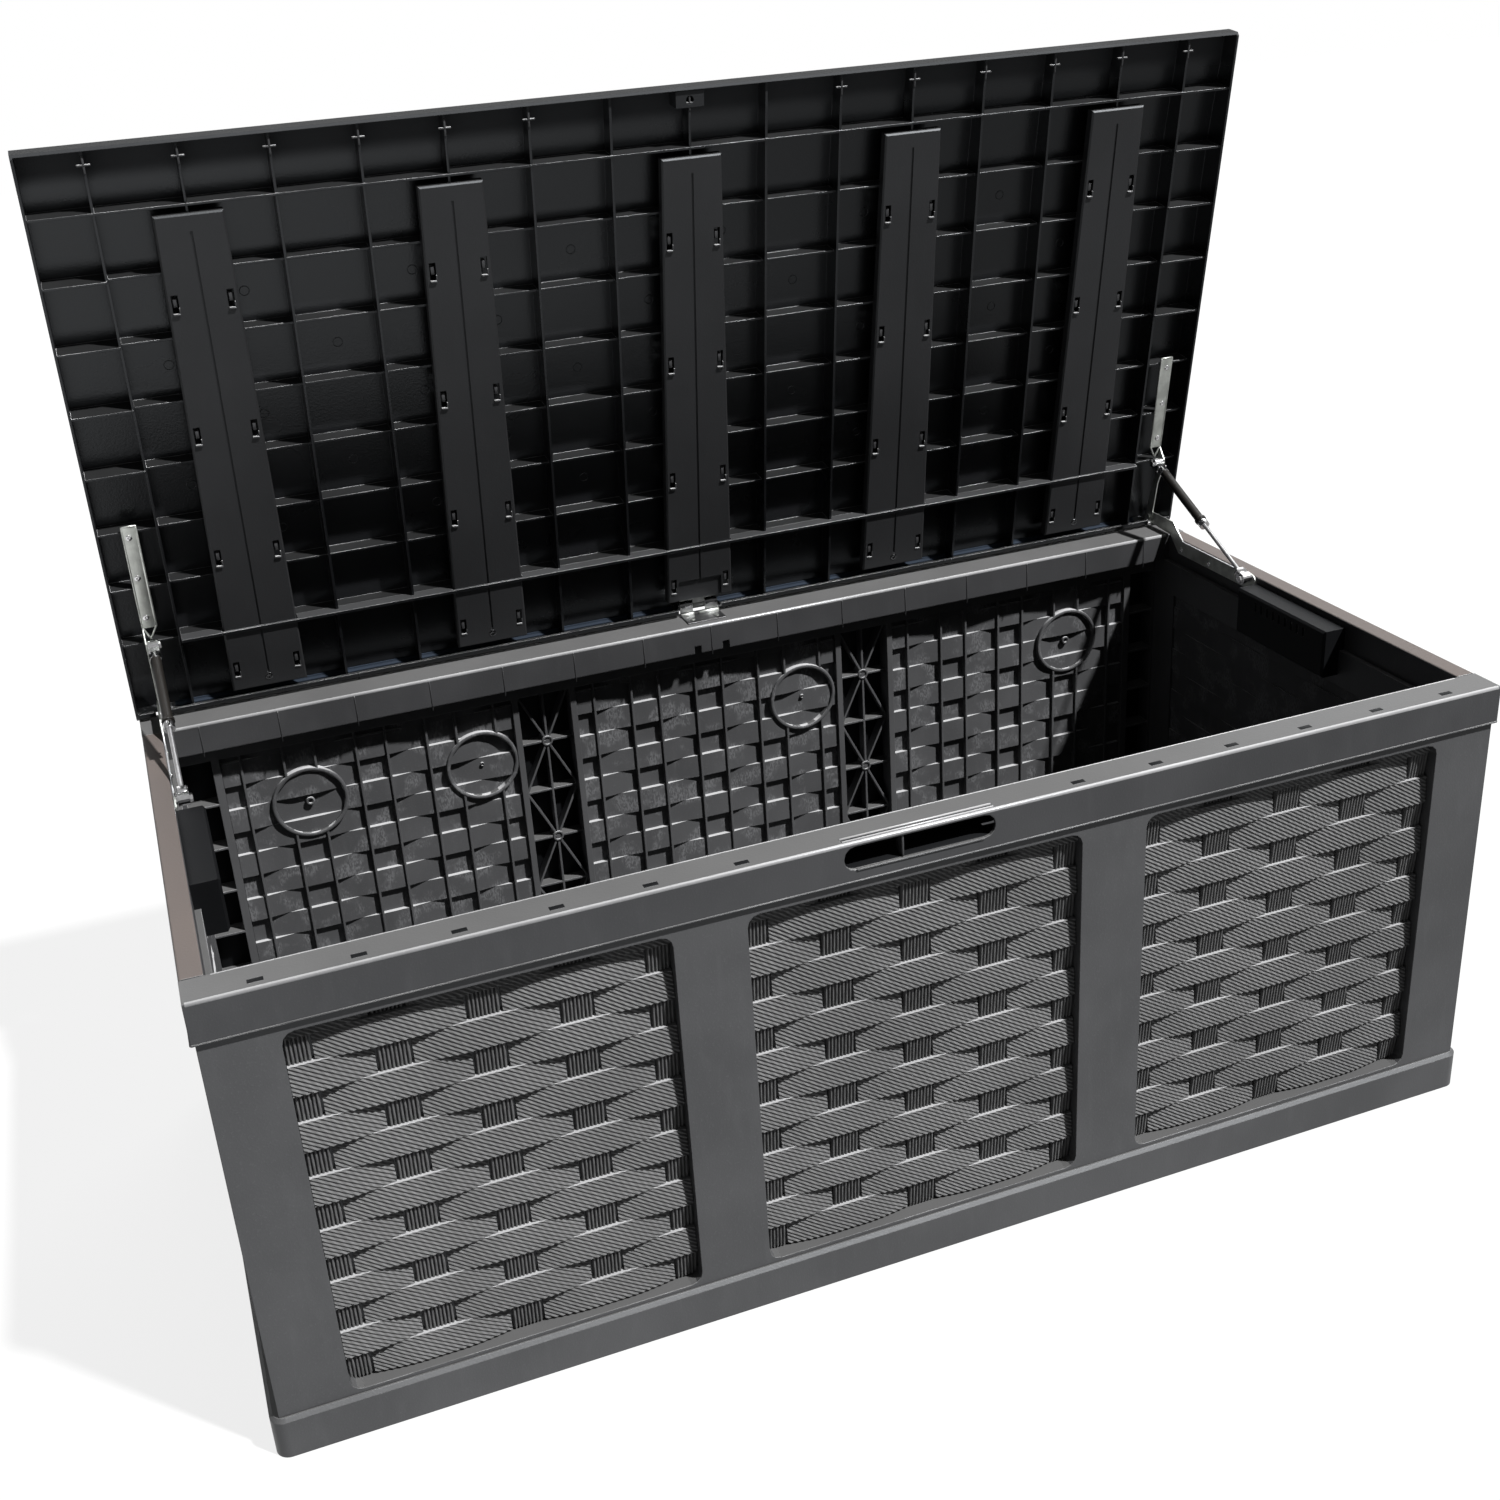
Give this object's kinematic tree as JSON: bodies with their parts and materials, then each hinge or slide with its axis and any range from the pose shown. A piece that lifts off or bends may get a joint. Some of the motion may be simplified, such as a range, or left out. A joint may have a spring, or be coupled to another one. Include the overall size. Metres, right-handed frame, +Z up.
{
  "type": "deck storage box",
  "caption": "Large resin garden storage box with woven-look wall panels, a plinth base and a ribbed lid that turns on a rear hinge and is held open by gas struts.",
  "frame": {"origin": "middle of the base's underside, on the ground", "axes": "+X along the width, to the right of someone facing the front; +Y from front to back; +Z up"},
  "size_m": [1.552, 0.7348, 1.3009],
  "materials": {
    "resin": "moulded, matte anthracite",
    "lid_resin": "moulded, satin black-grey",
    "zinc_steel": "galvanised sheet",
    "chrome": "polished",
    "black_paint": "satin black paint"
  },
  "bodies": {
    "box": {"back_wall": "resin", "base_tray": "resin", "front_rail": "resin", "front_wall": "resin", "hinge_lower_leaf": "zinc_steel", "hinge_pin": "chrome", "hinge_screws": "zinc_steel", "left_arm_rivet": "zinc_steel", "left_hand_cup": "lid_resin", "left_rail": "resin", "left_wall": "resin", "left_wall_arm": "zinc_steel", "left_wall_stud": "chrome", "rear_rail": "resin", "right_arm_rivet": "zinc_steel", "right_hand_cup": "lid_resin", "right_rail": "resin", "right_wall": "resin", "right_wall_arm": "zinc_steel", "right_wall_stud": "chrome", "wall_arm_screws": "zinc_steel"},
    "lid": {"beam_screws": "zinc_steel", "hinge_lid_screws": "zinc_steel", "hinge_upper_leaf": "zinc_steel", "left_lid_arm": "zinc_steel", "lid_arm_screws": "zinc_steel", "lid_beam_1": "lid_resin", "lid_beam_2": "lid_resin", "lid_beam_3": "lid_resin", "lid_beam_4": "lid_resin", "lid_beam_5": "lid_resin", "lid_cross_bar": "lid_resin", "lid_panel": "lid_resin", "right_lid_arm": "zinc_steel"},
    "left_rod": {"left_strut_rod": "chrome", "left_rod_eye": "chrome"},
    "left_tube": {"left_strut_tube": "black_paint", "left_tube_eye": "chrome"},
    "right_rod": {"right_strut_rod": "chrome", "right_rod_eye": "chrome"},
    "right_tube": {"right_strut_tube": "black_paint", "right_tube_eye": "chrome"}
  },
  "joints": [
    {"name": "lid_hinge", "type": "hinge", "parent": "box", "child": "lid", "pos_m": [0, 0.353, 0.594], "axis": [-1, 0, 0], "range_deg": [-81, 0], "stiffness_Nm_per_rad": 4, "springref_deg": 171.89},
    {"name": "left_strut_swing", "type": "hinge", "parent": "box", "child": "left_rod", "pos_m": [-0.734, 0.095, 0.577], "axis": [1, 0, 0], "range_deg": [-24.72, 0]},
    {"name": "left_strut_slide", "type": "slide", "parent": "left_rod", "child": "left_tube", "axis": [0, 0.9005, 0.435], "range_m": [-0.09329, 0]},
    {"name": "right_strut_swing", "type": "hinge", "parent": "box", "child": "right_rod", "pos_m": [0.734, 0.095, 0.577], "axis": [1, 0, 0], "range_deg": [-24.72, 0]},
    {"name": "right_strut_slide", "type": "slide", "parent": "right_rod", "child": "right_tube", "axis": [0, 0.9005, 0.435], "range_m": [-0.09329, 0]}
  ],
  "couplings": [
    {"joint": "left_strut_swing", "follows": "lid_hinge", "ratio": 0.30512},
    {"joint": "left_strut_slide", "follows": "lid_hinge", "m_per_rad": 0.065987},
    {"joint": "right_strut_swing", "follows": "lid_hinge", "ratio": 0.30512},
    {"joint": "right_strut_slide", "follows": "lid_hinge", "m_per_rad": 0.065987}
  ]
}
